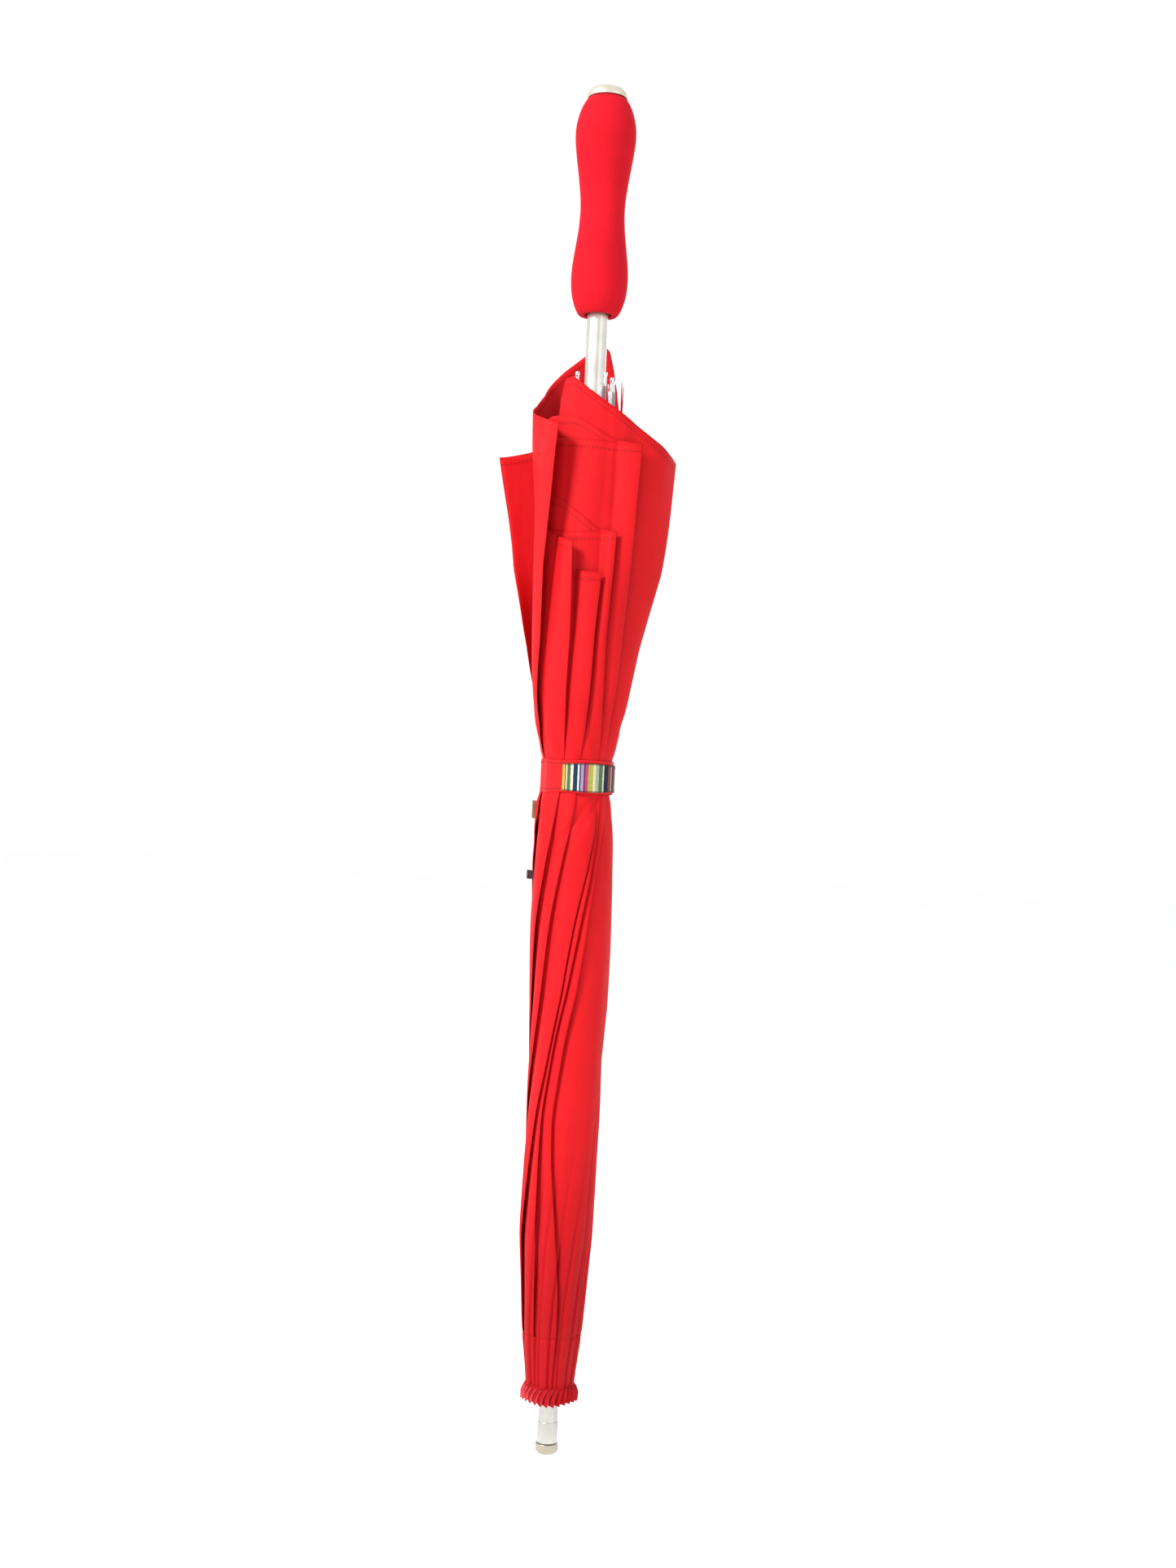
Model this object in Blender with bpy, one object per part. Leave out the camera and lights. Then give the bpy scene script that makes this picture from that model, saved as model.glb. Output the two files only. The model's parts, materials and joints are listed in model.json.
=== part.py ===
"""A stick umbrella, closed and strapped, handle up and tip down.

Lengths below are millimetres, measured upwards from the tip; MM turns them into metres.
Everything hangs from one empty, which puts the world's origin in the middle of the grip.
The eight ribs pivot on the top notch, just above the ferrule, and the eight stretchers join
each rib to the runner, which slides down the shaft to open the canopy.
"""

import math

import bmesh
import bpy
from mathutils import Vector

MM = 0.001
GAP = 0.3
HOLD_HEIGHT = 838

# Shaft, ferrule and tip
SHAFT_RADIUS = 7.0
SHAFT_WALL = 0.8
SHAFT_BOTTOM = 44.5
SHAFT_TOP = 905
TIP_RADIUS = 7.7
TIP_HEIGHT = 7
FERRULE_RADIUS = 6.9
FERRULE_BORE = 5.8
FERRULE_STEP = 21.5

# Grip
GRIP_BOTTOM = 768
GRIP_TOP = 914
GRIP_BORE = 9.4
GRIP_OUTLINE = (
    (0, 11.5), (2.5, 14.5), (8, 17), (15, 18.8), (24, 19.3), (34, 18.8), (46, 17.2), (59, 15.5),
    (70, 14.9), (80, 15.3), (93, 16.9), (109, 19.4), (122, 20.6), (132, 20), (139, 18),
    (144, 15.8), (146, 13),
)
CAP_RADIUS = 13.7
CAP_TOP = 922

# Frame
RIBS = 8
FIRST_RIB = math.radians(16.5)
STEP_ANGLE = math.tau / RIBS
NOTCH_RADIUS = 10.0
NOTCH_HEIGHT = 55
RIB_TIP = (24.0, 716)
RIB_WIDTH = 2.6
RIB_DEPTH = 3.0
ELBOW = (11.7, 355)
RUNNER_HEIGHT = 2 * ELBOW[1] - NOTCH_HEIGHT
RUNNER_RADIUS = 8.5
RUNNER_LENGTH = 50
CROWN_RADIUS = 12.5
SLOT_WIDTH = 2.6
CATCH_ANGLE = FIRST_RIB - STEP_ANGLE / 2
CATCH_LENGTH = 18
CATCH_SLOT = 2.4
BOTTOM_CATCH_HEIGHT = 706
TOP_CATCH_HEIGHT = 304
CATCH_OUT = 9.4
WIRE_RADIUS = 0.45

# Canopy, folded round the frame: (height, outer radius)
BUNDLE_OUTLINE = (
    (72, 18.5), (100, 21.5), (126, 23), (170, 24.6), (266, 25), (312, 26.2), (380, 27), (443, 23.4),
    (470, 23.6), (494, 30), (544, 38), (595, 48), (640, 55), (680, 59),
)
PANEL_THICKNESS = 5
RIB_CLEARANCE = 2.1
PANEL_STEPS = 5
PANEL_GAP_ANGLE = math.radians(1.2)

# Strap and labels
STRAP_BOTTOM = 445.5
STRAP_HEIGHT = 22
TAB_RAISED = 1.2
TAB_HEIGHT = 18.4
STRAP_RADIUS = 23.9
STRAP_THICKNESS = 0.6
HOOK_THICKNESS = 0.4
TAB_THICKNESS = 0.8
STRAP_GAP = 0.4
TAB_START = math.radians(248)
TAB_SPAN = math.radians(114)
HOOK_SPAN = math.radians(27)
LABEL_ANGLE = math.radians(180)

# Rosette: a gathered ring of cut fabric round the ferrule
ROSETTE_BOTTOM = 31
ROSETTE_TOP = 48
ROSETTE_RADIUS = 19
ROSETTE_PLEATS = 32


def clear_scene():
    for obj in list(bpy.data.objects):
        bpy.data.objects.remove(obj, do_unlink=True)


def material(name, colour, roughness, metallic=0.0):
    made = bpy.data.materials.new(name)
    made.use_nodes = True
    shader = made.node_tree.nodes["Principled BSDF"]
    shader.inputs["Base Color"].default_value = (*colour, 1)
    shader.inputs["Roughness"].default_value = roughness
    shader.inputs["Metallic"].default_value = metallic
    return made


def add_object(name, mesh, parent, finish):
    obj = bpy.data.objects.new(name, mesh)
    bpy.context.scene.collection.objects.link(obj)
    obj.parent = parent
    if finish:
        mesh.materials.clear()
        mesh.materials.append(finish)
    return obj


def mesh_from(name, points, faces):
    """A mesh from points in millimetres, with its faces turned outwards."""
    form = bmesh.new()
    verts = [form.verts.new(Vector(p) * MM) for p in points]
    for face in faces:
        form.faces.new([verts[i] for i in face])
    bmesh.ops.recalc_face_normals(form, faces=form.faces)
    mesh = bpy.data.meshes.new(name)
    form.to_mesh(mesh)
    form.free()
    mesh.shade_smooth()
    mesh.set_sharp_from_angle(angle=math.radians(35))
    return mesh


def turned(name, outline, segments=24):
    """A ring turned from a closed outline of (radius, height), or a solid one if it meets the axis."""
    points, rings = [], []
    for radius, height in outline:
        if radius == 0:
            rings.append([len(points)] * segments)
            points.append((0, 0, height))
            continue
        rings.append([len(points) + k for k in range(segments)])
        for k in range(segments):
            angle = math.tau * k / segments
            points.append((radius * math.cos(angle), radius * math.sin(angle), height))
    faces = []
    for low, high in zip(rings, rings[1:] + rings[:1]):
        for k in range(segments):
            after = (k + 1) % segments
            corners = list(dict.fromkeys((low[k], low[after], high[after], high[k])))
            if len(corners) > 2:
                faces.append(corners)
    return mesh_from(name, points, faces)


def arc_shell(name, outline, start, end, steps):
    """A closed shell between two angles; outline holds (height, inner radius, outer radius)."""
    angles = [start + (end - start) * k / steps for k in range(steps + 1)]
    points = []
    for height, inner, outer in outline:
        for radius in (outer, inner):
            points += [(radius * math.cos(a), radius * math.sin(a), height) for a in angles]
    width = steps + 1
    ring = 2 * width
    faces = []
    for level in range(len(outline) - 1):
        base = level * ring
        for k in range(steps):
            faces.append((base + k, base + k + 1, base + ring + k + 1, base + ring + k))
            near = base + width + k
            faces.append((near + 1, near, near + ring, near + ring + 1))
        for side in (0, steps):
            low, high = base + side, base + ring + side
            faces.append((low, low + width, high + width, high))
    for base in (0, (len(outline) - 1) * ring):
        for k in range(steps):
            faces.append((base + k, base + k + 1, base + width + k + 1, base + width + k))
    return mesh_from(name, points, faces)


def block(name, low, high):
    (x0, y0, z0), (x1, y1, z1) = low, high
    points = [(x, y, z) for z in (z0, z1) for y in (y0, y1) for x in (x0, x1)]
    faces = ((0, 1, 3, 2), (4, 5, 7, 6), (0, 1, 5, 4), (2, 3, 7, 6), (0, 2, 6, 4), (1, 3, 7, 5))
    return mesh_from(name, points, faces)


def swept_square(centres, side, depth):
    """Four corners round each centre, for a bar of rectangular section."""
    corners = ((-1, -1), (1, -1), (1, 1), (-1, 1))
    return [centre + a * side + b * depth for centre in centres for a, b in corners]


def ladder(levels, around):
    """Faces of a closed bar: its rings of points, with a cap at each end."""
    last = (levels - 1) * around
    faces = [tuple(range(around)), tuple(range(last, last + around))]
    for level in range(levels - 1):
        low, high = level * around, (level + 1) * around
        for k in range(around):
            after = (k + 1) % around
            faces.append((low + k, low + after, high + after, high + k))
    return faces


def rod(name, start, end, radius, segments=8):
    """A round rod between two points."""
    start, end = Vector(start), Vector(end)
    along = (end - start).normalized()
    side = along.orthogonal().normalized()
    other = along.cross(side)
    points = []
    for centre in (start, end):
        for k in range(segments):
            angle = math.tau * (k + 0.5) / segments
            points.append(centre + radius * (side * math.cos(angle) + other * math.sin(angle)))
    return mesh_from(name, points, ladder(2, segments))


def combined(name, first, additions=(), cuts=()):
    """One mesh from a first mesh, meshes joined to it and meshes cut from it."""
    body = add_object(name, first, None, None)
    tools = []
    for meshes, operation in ((additions, "UNION"), (cuts, "DIFFERENCE")):
        for mesh in meshes:
            tool = add_object(name + "_tool", mesh, None, None)
            tools.append(tool)
            step = body.modifiers.new(operation.title(), "BOOLEAN")
            step.operation = operation
            step.object = tool
    graph = bpy.context.evaluated_depsgraph_get()
    result = bpy.data.meshes.new_from_object(body.evaluated_get(graph))
    result.name = name
    result.shade_smooth()
    result.set_sharp_from_angle(angle=math.radians(35))
    for obj in (body, *tools):
        bpy.data.objects.remove(obj, do_unlink=True)
    return result


def ring_wire(name, radius, height, thickness):
    """An eight-sided wire ring whose sides run straight through the rib pivots."""
    corner = radius / math.cos(STEP_ANGLE / 2)
    sides = 6
    points, faces = [], []
    for i in range(RIBS):
        angle = FIRST_RIB + STEP_ANGLE * (i - 0.5)
        for k in range(sides):
            turn = math.tau * k / sides
            out = corner + thickness * math.cos(turn)
            rise = thickness * math.sin(turn)
            points.append((out * math.cos(angle), out * math.sin(angle), height + rise))
    for i in range(RIBS):
        here, there = i * sides, (i + 1) % RIBS * sides
        for k in range(sides):
            after = (k + 1) % sides
            faces.append((here + k, here + after, there + after, there + k))
    return mesh_from(name, points, faces)


def slots(angles, radii, heights, width):
    """Cutters for radial slots at the angles given."""
    made = []
    for angle in angles:
        low = (radii[0], -width / 2, heights[0])
        high = (radii[1], width / 2, heights[1])
        mesh = block("slot", low, high)
        for vertex in mesh.vertices:
            x, y = vertex.co.x, vertex.co.y
            vertex.co.x = x * math.cos(angle) - y * math.sin(angle)
            vertex.co.y = x * math.sin(angle) + y * math.cos(angle)
        made.append(mesh)
    return made


def rib_angles():
    return [FIRST_RIB + STEP_ANGLE * i for i in range(RIBS)]


def make_shaft(datum):
    silver = material("satin_aluminium", (0.72, 0.73, 0.74), 0.3, 1.0)
    beige = material("tip_metal", (0.55, 0.53, 0.47), 0.4, 0.8)
    bore = SHAFT_RADIUS - SHAFT_WALL
    tube = (
        (bore, SHAFT_BOTTOM), (SHAFT_RADIUS, SHAFT_BOTTOM), (SHAFT_RADIUS, SHAFT_TOP),
        (bore, SHAFT_TOP),
    )
    openings = []
    for height in (TOP_CATCH_HEIGHT, BOTTOM_CATCH_HEIGHT):
        span = (height - 1, height + CATCH_LENGTH + 1)
        openings += slots([CATCH_ANGLE], (5, 9), span, CATCH_SLOT)
    shaft = combined("shaft_tube", turned("shaft", tube), (), openings)
    add_object("shaft_tube", shaft, datum, silver)
    make_ferrule(datum, silver, beige)


def make_ferrule(datum, silver, beige):
    """The stepped metal sleeve below the rosette, its end cap, and the plug into the shaft."""
    upper = FERRULE_RADIUS - 0.25
    sleeve_top = SHAFT_BOTTOM - GAP
    sleeve_low = TIP_HEIGHT + GAP
    sleeve = (
        (FERRULE_BORE, sleeve_low), (FERRULE_RADIUS, sleeve_low), (FERRULE_RADIUS, FERRULE_STEP),
        (upper, FERRULE_STEP + 0.5), (upper, sleeve_top), (FERRULE_BORE, sleeve_top),
    )
    add_object("ferrule_sleeve", turned("ferrule_sleeve", sleeve), datum, silver)
    spigot = FERRULE_BORE - GAP
    cap = (
        (0, 0), (5.8, 0), (7, 0.6), (TIP_RADIUS, 1.8), (TIP_RADIUS, TIP_HEIGHT),
        (spigot, TIP_HEIGHT), (spigot, 18), (0, 18),
    )
    add_object("tip_cap", turned("tip_cap", cap), datum, beige)
    plug_top = SHAFT_BOTTOM + 20
    plug = ((4, 26), (spigot, 26), (spigot, plug_top), (4, plug_top))
    add_object("ferrule_plug", turned("ferrule_plug", plug, 16), datum, beige)


def make_handle(datum):
    foam = material("red_foam", (0.62, 0.02, 0.03), 0.85)
    plastic = material("core_plastic", (0.05, 0.05, 0.05), 0.5)
    pearl = material("cap_metal", (0.8, 0.77, 0.7), 0.35, 0.6)
    bore = SHAFT_RADIUS + GAP
    core_outer = GRIP_BORE - GAP
    core_low = GRIP_BOTTOM + 4
    core = ((bore, core_low), (core_outer, core_low), (core_outer, SHAFT_TOP), (bore, SHAFT_TOP))
    add_object("handle_core", turned("handle_core", core), datum, plastic)
    grip = [(GRIP_BORE, GRIP_BOTTOM)]
    grip += [(radius, GRIP_BOTTOM + rise) for rise, radius in GRIP_OUTLINE]
    grip += [(GRIP_BORE, GRIP_TOP)]
    add_object("handle_grip", turned("handle_grip", grip, 28), datum, foam)
    low = GRIP_TOP + GAP
    cap = (
        (0, SHAFT_TOP + GAP), (core_outer, SHAFT_TOP + GAP), (core_outer, low),
        (CAP_RADIUS, low), (CAP_RADIUS, low + 2.6), (CAP_RADIUS - 1.6, CAP_TOP - 2.6),
        (9, CAP_TOP - 0.7), (5, CAP_TOP), (0, CAP_TOP),
    )
    add_object("handle_end_cap", turned("handle_end_cap", cap, 28), datum, pearl)


def make_rosette(datum):
    """A gathered collar whose cut edge stands out in slanted pleats."""
    fabric = material("rosette_fabric", (0.6, 0.01, 0.02), 0.8)
    count = 2 * ROSETTE_PLEATS
    points = []
    levels = ((ROSETTE_TOP, 13, 0), (42, 15.5, 0.2), (36, 17, 0.6), (ROSETTE_BOTTOM, 15, 1.0))
    for height, radius, crimp in levels:
        for k in range(count):
            angle = math.tau * k / count
            out = radius + (1.8 * crimp if k % 2 else 0) + 0.3
            points.append((out * math.cos(angle), out * math.sin(angle), height))
    for height, radius in ((ROSETTE_BOTTOM + 3, 8.6), (ROSETTE_TOP, FERRULE_RADIUS + GAP)):
        for k in range(count):
            angle = math.tau * k / count
            points.append((radius * math.cos(angle), radius * math.sin(angle), height))
    faces = []
    rows = len(levels) + 2
    for row in range(rows):
        low, high = row * count, (row + 1) % rows * count
        for k in range(count):
            after = (k + 1) % count
            faces.append((low + k, low + after, high + after, high + k))
    add_object("rosette", mesh_from("rosette", points, faces), datum, fabric)


def make_notch(datum):
    nylon = material("black_nylon", (0.03, 0.03, 0.035), 0.45)
    steel = material("wire_steel", (0.6, 0.6, 0.6), 0.3, 1.0)
    base = ROSETTE_TOP + GAP
    hub = SHAFT_RADIUS + GAP
    washer = ((hub, base), (12.6, base), (12.6, base + 0.8), (hub, base + 0.8))
    add_object("crown_washer", turned("crown_washer", washer), datum, steel)
    low = base + 0.8 + GAP
    shelf = NOTCH_HEIGHT - WIRE_RADIUS - GAP
    collar, flange, top = 8.1, 12.2, NOTCH_HEIGHT + 7
    outline = (
        (hub, low), (flange, low), (flange, shelf), (collar, shelf), (collar, top), (hub, top),
    )
    cuts = slots(rib_angles(), (collar - 0.05, 14), (low + 1.5, NOTCH_HEIGHT + 1), SLOT_WIDTH)
    add_object("top_notch", combined("top_notch", turned("notch", outline), (), cuts), datum, nylon)
    wire = ring_wire("notch_wire", NOTCH_RADIUS, NOTCH_HEIGHT, WIRE_RADIUS)
    add_object("notch_wire", wire, datum, steel)


def make_runner(datum):
    nylon = material("runner_nylon", (0.04, 0.04, 0.045), 0.4)
    bore = SHAFT_RADIUS + GAP
    low, high = RUNNER_HEIGHT - 4, RUNNER_HEIGHT - 4 + RUNNER_LENGTH
    crown_top = RUNNER_HEIGHT + 3
    outline = (
        (bore, low), (CROWN_RADIUS, low), (CROWN_RADIUS, crown_top), (RUNNER_RADIUS, crown_top),
        (RUNNER_RADIUS, high), (bore, high),
    )
    cuts = slots(rib_angles(), (RUNNER_RADIUS, 14), (low - 1, crown_top + 1), SLOT_WIDTH)
    cuts += slots([CATCH_ANGLE], (6, CATCH_OUT + GAP), (low - 1, high + 1), SLOT_WIDTH)
    add_object("runner", combined("runner", turned("runner", outline), (), cuts), datum, nylon)


def make_catches(datum):
    """Two sprung steel blades in slots of the shaft; each presses in towards the axis."""
    steel = material("catch_steel", (0.55, 0.56, 0.57), 0.35, 1.0)
    half = 0.8
    profile = ((4, 0), (CATCH_OUT, 0), (CATCH_OUT, 3), (7.3, CATCH_LENGTH), (4, CATCH_LENGTH))
    for name, height in (("bottom_catch", BOTTOM_CATCH_HEIGHT), ("top_catch", TOP_CATCH_HEIGHT)):
        points = [(x, side, z) for side in (-half, half) for x, z in profile]
        blade = mesh_from(name, points, ladder(2, len(profile)))
        obj = add_object(name, blade, datum, steel)
        obj.location.z = height * MM
        obj.rotation_euler.z = CATCH_ANGLE


def rib_mesh():
    """A rib in its own plane: origin at the notch pivot, X outwards, Z up."""
    run = Vector((RIB_TIP[0] - NOTCH_RADIUS, 0, RIB_TIP[1] - NOTCH_HEIGHT))
    along = run.normalized()
    out = Vector((along.z, 0, -along.x))
    side = Vector((0, RIB_WIDTH / 2, 0))
    points = swept_square((along * 3.5, run), side, out * RIB_DEPTH / 2)
    bar = mesh_from("rib", points, ladder(2, 4))
    thin = 0.7
    eye = rod("eye", (0, -thin, 0), (0, thin, 0), 1.7, 12)
    neck = block("neck", (-1.1, -thin, 0.9), (1.3, thin, 5))
    hole = rod("hole", (0, -2, 0), (0, 2, 0), WIRE_RADIUS + GAP + 0.05, 8)
    elbow_x, elbow_z = ELBOW[0] - NOTCH_RADIUS, ELBOW[1] - NOTCH_HEIGHT
    rib_x = run.x * elbow_z / run.z
    blade = block("bracket", (elbow_x - 0.9, -0.6, elbow_z - 2), (rib_x, 0.6, elbow_z + 2))
    rivet = rod("rivet", (elbow_x, -2.2, elbow_z), (elbow_x, 2.2, elbow_z), 0.6, 8)
    return combined("rib", bar, (neck, eye, blade, rivet), (hole,))


def rib_tip_mesh():
    """The metal cap at a rib's end, in the rib's own plane."""
    run = Vector((RIB_TIP[0] - NOTCH_RADIUS, 0, RIB_TIP[1] - NOTCH_HEIGHT))
    along = run.normalized()
    start = run + along * GAP
    segments = 8
    side = Vector((0, 1, 0))
    out = Vector((along.z, 0, -along.x))
    points = []
    profile = ((0, 1.5), (5.5, 1.5), (7.5, 1.9), (9, 1.2))
    for rise, radius in profile:
        centre = start + along * rise
        for k in range(segments):
            angle = math.tau * k / segments
            points.append(centre + radius * (side * math.cos(angle) + out * math.sin(angle)))
    return mesh_from("rib_tip", points, ladder(len(profile), segments))


def stretcher_mesh():
    """A stretcher in the rib's plane: origin at the elbow, running up to the runner."""
    run = Vector((NOTCH_RADIUS - ELBOW[0], 0, RUNNER_HEIGHT - ELBOW[1]))
    along = run.normalized()
    out = Vector((along.z, 0, -along.x))
    end = run.length + 0.5
    sections = ((5, 1.0), (end - 13, 1.0), (end - 11, 0.7), (end, 0.7))
    points = []
    for rise, half in sections:
        points += swept_square((along * rise,), Vector((0, half, 0)), out * 1.05)
    bar = mesh_from("stretcher", points, ladder(len(sections), 4))
    cheeks = []
    for way in (-1, 1):
        near, far = way * 0.9, way * 1.7
        cheeks.append(rod("cheek", (0, near, 0), (0, far, 0), 1.7, 12))
        low, high = min(near, far), max(near, far)
        cheeks.append(block("arm", (-1.05, low, 0.6), (1.05, high, 7)))
    bridge = block("bridge", (-1.0, -1.6, 5.2), (1.0, 1.6, 6.9))
    hole = rod("hole", (0, -3, 0), (0, 3, 0), 0.95, 8)
    return combined("stretcher", bar, (bridge, *cheeks), (hole,))


def make_frame(datum):
    steel = material("rib_steel", (0.5, 0.5, 0.52), 0.35, 1.0)
    bright = material("rib_tip_metal", (0.75, 0.75, 0.76), 0.25, 1.0)
    rib, tip, stretcher = rib_mesh(), rib_tip_mesh(), stretcher_mesh()
    for i, angle in enumerate(rib_angles()):
        pivot = bpy.data.objects.new(f"rib_pivot_{i}", None)
        bpy.context.scene.collection.objects.link(pivot)
        pivot.parent = datum
        across = Vector((math.cos(angle), math.sin(angle), 0)) * NOTCH_RADIUS
        pivot.location = (across + Vector((0, 0, NOTCH_HEIGHT))) * MM
        pivot.rotation_euler.z = angle
        add_object(f"rib_{i}", rib, pivot, steel)
        add_object(f"rib_tip_{i}", tip, pivot, bright)
        arm = add_object(f"stretcher_{i}", stretcher, pivot, steel)
        arm.location = Vector((ELBOW[0] - NOTCH_RADIUS, 0, ELBOW[1] - NOTCH_HEIGHT)) * MM


def panel_outline():
    """Rows of (height, inner radius, outer radius), kept clear of the ribs behind."""
    rows = []
    slope = (RIB_TIP[0] - NOTCH_RADIUS) / (RIB_TIP[1] - NOTCH_HEIGHT)
    for height, outer in BUNDLE_OUTLINE:
        rib_back = NOTCH_RADIUS + slope * (height - NOTCH_HEIGHT) + RIB_CLEARANCE
        rows.append((height, max(rib_back, outer - PANEL_THICKNESS), outer))
    return rows


def make_canopy(datum):
    fabric = material("red_pongee", (0.72, 0.015, 0.025), 0.6)
    rows = panel_outline()
    for i, angle in enumerate(rib_angles()):
        start, end = angle + PANEL_GAP_ANGLE, angle + STEP_ANGLE - PANEL_GAP_ANGLE
        shell = arc_shell(f"canopy_panel_{i}", rows, start, end, PANEL_STEPS)
        add_object(f"canopy_panel_{i}", shell, datum, fabric)


def make_strap(datum):
    fabric = material("strap_fabric", (0.72, 0.015, 0.025), 0.6)
    striped = material("striped_tab", (0.5, 0.45, 0.3), 0.7)
    hook = material("hook_tape", (0.3, 0.02, 0.03), 0.9)
    low, high = STRAP_BOTTOM, STRAP_BOTTOM + STRAP_HEIGHT
    outer = STRAP_RADIUS + STRAP_THICKNESS
    band = ((STRAP_RADIUS, low), (outer, low), (outer, high), (STRAP_RADIUS, high))
    add_object("strap_band", turned("strap_band", band, 48), datum, fabric)
    inner = outer + STRAP_GAP
    outer = inner + HOOK_THICKNESS
    patch = ((low + 3, inner, outer), (high - 3, inner, outer))
    end = TAB_START + TAB_SPAN
    hooks = arc_shell("hook_patch", patch, end - HOOK_SPAN, end, 4)
    add_object("hook_patch", hooks, datum, hook)
    inner = outer + STRAP_GAP
    outer = inner + TAB_THICKNESS
    tab_low = low + TAB_RAISED
    tab = ((tab_low, inner, outer), (tab_low + TAB_HEIGHT, inner, outer))
    add_object("strap_tab", arc_shell("strap_tab", tab, TAB_START, end, 14), datum, striped)


def make_labels(datum):
    """Two small cloth labels that stand out from a seam: height, length, inner and outer radius."""
    tan = material("tan_label", (0.35, 0.2, 0.1), 0.8)
    dark = material("dark_label", (0.06, 0.02, 0.02), 0.8)
    half = 0.4
    for name, low, length, start, end, finish in (
        ("care_label", 427, 12, 26.0, 29.2, tan),
        ("small_label", 386, 6, 27.9, 30.8, dark),
    ):
        tag = block(name, (start, -half, 0), (end, half, length))
        obj = add_object(name, tag, datum, finish)
        obj.location.z = low * MM
        obj.rotation_euler.z = LABEL_ANGLE


def main():
    clear_scene()
    datum = bpy.data.objects.new("tip_datum", None)
    bpy.context.scene.collection.objects.link(datum)
    datum.location.z = -HOLD_HEIGHT * MM
    make_shaft(datum)
    make_handle(datum)
    make_rosette(datum)
    make_notch(datum)
    make_runner(datum)
    make_catches(datum)
    make_frame(datum)
    make_canopy(datum)
    make_strap(datum)
    make_labels(datum)


main()
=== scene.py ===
import json
import math

import bmesh
import bpy
import numpy as np
from mathutils import Matrix, Vector


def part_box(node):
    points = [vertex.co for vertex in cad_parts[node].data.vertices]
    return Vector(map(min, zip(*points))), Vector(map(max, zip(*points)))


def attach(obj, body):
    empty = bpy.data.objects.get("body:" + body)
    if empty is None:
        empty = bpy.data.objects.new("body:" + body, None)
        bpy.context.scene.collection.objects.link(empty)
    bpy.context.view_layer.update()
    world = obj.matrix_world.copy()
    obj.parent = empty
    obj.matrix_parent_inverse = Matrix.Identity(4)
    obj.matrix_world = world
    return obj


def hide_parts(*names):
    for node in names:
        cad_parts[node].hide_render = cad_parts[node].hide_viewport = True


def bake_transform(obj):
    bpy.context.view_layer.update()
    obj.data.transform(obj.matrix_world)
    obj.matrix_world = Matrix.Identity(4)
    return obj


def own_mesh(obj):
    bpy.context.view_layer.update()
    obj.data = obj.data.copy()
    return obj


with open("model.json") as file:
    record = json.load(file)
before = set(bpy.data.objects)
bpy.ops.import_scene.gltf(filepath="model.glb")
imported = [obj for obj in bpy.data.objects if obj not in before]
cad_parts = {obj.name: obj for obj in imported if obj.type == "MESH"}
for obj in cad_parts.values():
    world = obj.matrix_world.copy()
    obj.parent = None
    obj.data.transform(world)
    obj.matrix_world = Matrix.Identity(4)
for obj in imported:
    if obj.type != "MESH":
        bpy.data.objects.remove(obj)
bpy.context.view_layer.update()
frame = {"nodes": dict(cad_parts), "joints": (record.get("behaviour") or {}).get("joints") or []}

MM = 0.001
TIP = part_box("tip_cap")[0].z
RIBS = 8
STEP = 360 / RIBS
JOINTS = {joint["name"]: joint for joint in frame["joints"]}

# The frame's own sizes, in millimetres and degrees. Angles called "side" are measured from the
# front (-Y) towards the right (+X), which is how the wrap is seen; heights are from the tip.
FIRST_RIB_SIDE = math.degrees(math.atan2(*JOINTS["rib_hinge_0"]["pos_m"][1::-1])) - 270
NOTCH_HEIGHT = (JOINTS["rib_hinge_0"]["pos_m"][2] - TIP) / MM
NOTCH_RADIUS = math.hypot(*JOINTS["rib_hinge_0"]["pos_m"][:2]) / MM
RIB_END_HEIGHT = (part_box("rib_tip_0")[0].z - TIP) / MM
RIB_END_RADIUS = 24.0
RIB_SLOPE = (RIB_END_RADIUS - NOTCH_RADIUS) / (RIB_END_HEIGHT - NOTCH_HEIGHT)
STRAP_LOW = (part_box("strap_band")[0].z - TIP) / MM
STRAP_HIGH = (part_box("strap_band")[1].z - TIP) / MM
STRAP_MID = (STRAP_LOW + STRAP_HIGH) / 2
STRAP_RADIUS = 24.1
TAB_LOW = (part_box("strap_tab")[0].z - TIP) / MM
TAB_HIGH = (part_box("strap_tab")[1].z - TIP) / MM
TAB_START_SIDE = 248 - 270
TAB_SPAN = 114
TAB_LIFT = 1.4

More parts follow.
